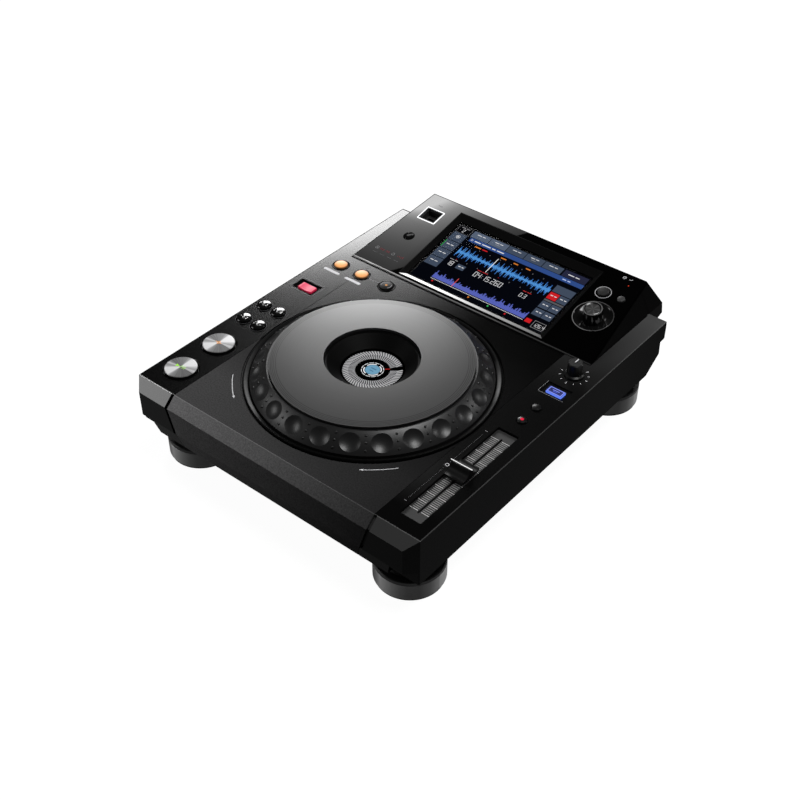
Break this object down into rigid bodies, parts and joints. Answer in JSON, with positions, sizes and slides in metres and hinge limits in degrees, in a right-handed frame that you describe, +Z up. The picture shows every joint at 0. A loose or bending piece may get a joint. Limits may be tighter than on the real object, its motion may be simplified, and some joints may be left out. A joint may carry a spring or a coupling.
{
  "type": "dj media player",
  "caption": "Desktop music player for disc jockeys with a dented jog wheel, a tempo fader, push buttons and a tilted touch screen, on round feet.",
  "frame": {"origin": "on the table top, under the middle of the player's outline", "axes": "+X to the player's right, +Y to its rear, +Z up"},
  "size_m": [0.305, 0.3854, 0.1069],
  "materials": {
    "cover_matte": "fine matte grain",
    "cover_gloss": "gloss",
    "cover_satin": "satin",
    "sheet_black": "fine texture",
    "screw": "black zinc",
    "foot_plastic": "satin",
    "foot_band": "satin",
    "foot_rubber": "matte",
    "wheel_plastic": "satin",
    "platter_metal": "dark satin",
    "bezel_metal": "polished",
    "pit_plastic": "matte",
    "dish_gloss": "gloss",
    "clear_window": "clear gloss",
    "jog_screen": "lit display",
    "encoder_film": "matte",
    "panel_acrylic": "high gloss",
    "screen_glass": "glossy, lit from behind",
    "screen_module": "lit display",
    "light_frame": "translucent, lit",
    "socket_plastic": "matte",
    "key_black": "gloss",
    "key_amber": "translucent, lit",
    "key_steel": "spun",
    "key_blue": "gloss with a lit rim",
    "lever_red": "gloss",
    "knob_black": "satin",
    "steel": "plain",
    "scale_plate": "matte with printed lines",
    "jack_nickel": "nickel plated",
    "circuit_board": "solder mask"
  },
  "bodies": {
    "player": {"centre_cover": "cover_matte", "left_cover": "cover_gloss", "screen_housing": "cover_gloss", "right_cover": "cover_satin", "bottom_chassis": "sheet_black", "rear_panel": "sheet_black", "cover_screws": "screw", "foot_cups": "foot_plastic", "foot_bands": "foot_band", "foot_pads": "foot_rubber", "jog_bezel": "bezel_metal", "jog_base": "pit_plastic", "jog_surround": "dish_gloss", "selector_dish": "dish_gloss", "jog_window": "clear_window", "jog_display": "jog_screen", "encoder_sensor": "encoder_film", "display_panel": "panel_acrylic", "screen_frame": "panel_acrylic", "touch_glass": "screen_glass", "lcd_module": "screen_module", "usb_light_frame": "light_frame", "usb_socket": "socket_plastic", "mains_inlet": "socket_plastic", "network_socket": "socket_plastic", "computer_socket": "socket_plastic", "loop_rings": "key_black", "fader_body": "steel", "fader_plate": "scale_plate", "digital_out_jack": "jack_nickel", "audio_out_jacks": "jack_nickel", "main_board": "circuit_board", "power_supply": "circuit_board", "key_boards": "circuit_board"},
    "jog_wheel": {"jog_ring": "wheel_plastic", "encoder_strip": "encoder_film"},
    "platter": {"jog_platter": "platter_metal"},
    "fader": {"fader_cap": "knob_black", "fader_stem": "steel"},
    "speed_knob": {"vinyl_speed_knob": "knob_black"},
    "selector_plunger": {"selector_shaft": "steel"},
    "selector": {"selector_knob": "knob_black"},
    "lever": {"direction_lever": "lever_red"},
    "play_key": {"play_button": "key_steel"},
    "cue_key": {"cue_button": "key_steel"},
    "loop_in_key": {"loop_in_button": "key_amber"},
    "loop_out_key": {"loop_out_button": "key_amber"},
    "reloop_key": {"reloop_button": "key_black"},
    "track_back_key": {"track_back_button": "key_black"},
    "track_forward_key": {"track_forward_button": "key_black"},
    "search_back_key": {"search_back_button": "key_black"},
    "search_forward_key": {"search_forward_button": "key_black"},
    "master_tempo_key": {"master_tempo_button": "key_black"},
    "tempo_range_key": {"tempo_range_button": "key_black"},
    "jog_mode_key": {"jog_mode_button": "key_blue"},
    "usb_stop_key": {"usb_stop_button": "key_black"},
    "back_key": {"back_button": "key_black"},
    "tag_key": {"tag_button": "key_black"},
    "power_key": {"power_button": "key_black"}
  },
  "joints": [
    {"name": "jog_wheel_turn", "type": "hinge", "parent": "player", "child": "jog_wheel", "pos_m": [0, -0.0581, 0.0836], "axis": [0, 0, 1], "continuous": true},
    {"name": "platter_press", "type": "slide", "parent": "jog_wheel", "child": "platter", "axis": [0, 0, -1], "range_m": [0, 0.0005], "stiffness_N_per_m": 5000, "springref_m": -0.001},
    {"name": "tempo_fader_slide", "type": "slide", "parent": "player", "child": "fader", "axis": [0, 1, 0], "range_m": [-0.05, 0.05]},
    {"name": "vinyl_speed_turn", "type": "hinge", "parent": "player", "child": "speed_knob", "pos_m": [0.1315, 0.0493, 0.0836], "axis": [0, 0, 1], "range_deg": [-150, 150]},
    {"name": "selector_press", "type": "slide", "parent": "player", "child": "selector_plunger", "axis": [0, 0.2055, -0.9787], "range_m": [0, 0.0007], "stiffness_N_per_m": 700, "springref_m": -0.0006},
    {"name": "selector_turn", "type": "hinge", "parent": "selector_plunger", "child": "selector", "pos_m": [0.1045, 0.11848, 0.09428], "axis": [0, -0.2055, 0.9787], "continuous": true},
    {"name": "direction_lever_slide", "type": "slide", "parent": "player", "child": "lever", "axis": [-1, 0, 0], "range_m": [0, 0.0045]},
    {"name": "play_press", "type": "slide", "parent": "player", "child": "play_key", "axis": [0, 0, -1], "range_m": [0, 0.0008], "stiffness_N_per_m": 500, "springref_m": -0.0005},
    {"name": "cue_press", "type": "slide", "parent": "player", "child": "cue_key", "axis": [0, 0, -1], "range_m": [0, 0.0008], "stiffness_N_per_m": 500, "springref_m": -0.0005},
    {"name": "loop_in_press", "type": "slide", "parent": "player", "child": "loop_in_key", "axis": [0, 0, -1], "range_m": [0, 0.0006], "stiffness_N_per_m": 500, "springref_m": -0.0005},
    {"name": "loop_out_press", "type": "slide", "parent": "player", "child": "loop_out_key", "axis": [0, 0, -1], "range_m": [0, 0.0006], "stiffness_N_per_m": 500, "springref_m": -0.0005},
    {"name": "reloop_press", "type": "slide", "parent": "player", "child": "reloop_key", "axis": [0, 0, -1], "range_m": [0, 0.0006], "stiffness_N_per_m": 500, "springref_m": -0.0005},
    {"name": "track_back_press", "type": "slide", "parent": "player", "child": "track_back_key", "axis": [0, 0, -1], "range_m": [0, 0.0006], "stiffness_N_per_m": 500, "springref_m": -0.0005},
    {"name": "track_forward_press", "type": "slide", "parent": "player", "child": "track_forward_key", "axis": [0, 0, -1], "range_m": [0, 0.0006], "stiffness_N_per_m": 500, "springref_m": -0.0005},
    {"name": "search_back_press", "type": "slide", "parent": "player", "child": "search_back_key", "axis": [0, 0, -1], "range_m": [0, 0.0006], "stiffness_N_per_m": 500, "springref_m": -0.0005},
    {"name": "search_forward_press", "type": "slide", "parent": "player", "child": "search_forward_key", "axis": [0, 0, -1], "range_m": [0, 0.0006], "stiffness_N_per_m": 500, "springref_m": -0.0005},
    {"name": "master_tempo_press", "type": "slide", "parent": "player", "child": "master_tempo_key", "axis": [0, 0, -1], "range_m": [0, 0.0006], "stiffness_N_per_m": 500, "springref_m": -0.0005},
    {"name": "tempo_range_press", "type": "slide", "parent": "player", "child": "tempo_range_key", "axis": [0, 0, -1], "range_m": [0, 0.0006], "stiffness_N_per_m": 500, "springref_m": -0.0005},
    {"name": "jog_mode_press", "type": "slide", "parent": "player", "child": "jog_mode_key", "axis": [0, 0, -1], "range_m": [0, 0.0006], "stiffness_N_per_m": 500, "springref_m": -0.0005},
    {"name": "usb_stop_press", "type": "slide", "parent": "player", "child": "usb_stop_key", "axis": [0, 0.2055, -0.9787], "range_m": [0, 0.0006], "stiffness_N_per_m": 500, "springref_m": -0.0005},
    {"name": "back_press", "type": "slide", "parent": "player", "child": "back_key", "axis": [0, 0.2055, -0.9787], "range_m": [0, 0.0006], "stiffness_N_per_m": 500, "springref_m": -0.0005},
    {"name": "tag_press", "type": "slide", "parent": "player", "child": "tag_key", "axis": [0, 0.2055, -0.9787], "range_m": [0, 0.0006], "stiffness_N_per_m": 500, "springref_m": -0.0005},
    {"name": "power_press", "type": "slide", "parent": "player", "child": "power_key", "axis": [0, -1, 0], "range_m": [0, 0.0016], "stiffness_N_per_m": 500, "springref_m": -0.0005}
  ]
}
